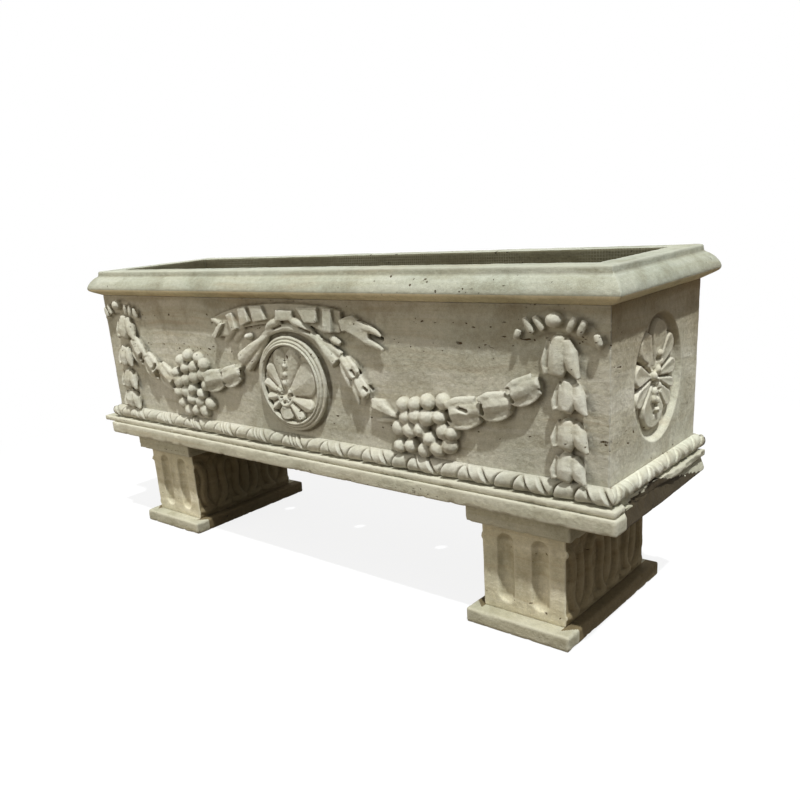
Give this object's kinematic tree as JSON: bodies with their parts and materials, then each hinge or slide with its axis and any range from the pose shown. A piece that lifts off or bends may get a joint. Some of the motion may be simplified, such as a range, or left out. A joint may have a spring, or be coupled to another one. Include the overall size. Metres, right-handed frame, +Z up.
{
  "type": "stone trough planter",
  "caption": "Carved travertine trough planter with moulded rim, garland relief and laurel torus, standing on fluted pedestals.",
  "frame": {"origin": "on the ground, under the middle of the whole trough's bounding box", "axes": "+X along the length towards the right end seen from the front, +Y from the carved front to the back, +Z up"},
  "size_m": [1.277, 0.346, 0.5688],
  "materials": {
    "carved_travertine": "matt, carved and lightly rubbed, with open pits",
    "rim_travertine": "matt, rubbed smooth",
    "sawn_travertine": "matt, sawn",
    "pedestal_travertine": "matt, sawn and carved"
  },
  "bodies": {
    "root": {"front_panel": "carved_travertine", "back_panel": "carved_travertine", "left_end_panel": "carved_travertine", "right_end_panel": "carved_travertine", "front_rim": "rim_travertine", "back_rim": "rim_travertine", "left_end_rim": "rim_travertine", "right_end_rim": "rim_travertine", "front_torus": "carved_travertine", "back_torus": "carved_travertine", "left_end_torus": "carved_travertine", "right_end_torus": "carved_travertine", "ledge_slab": "sawn_travertine", "plinth_slab": "sawn_travertine", "left_pedestal_base": "pedestal_travertine", "left_pedestal_shaft": "pedestal_travertine", "left_pedestal_cap": "pedestal_travertine", "right_pedestal_base": "pedestal_travertine", "right_pedestal_shaft": "pedestal_travertine", "right_pedestal_cap": "pedestal_travertine"}
  },
  "joints": []
}
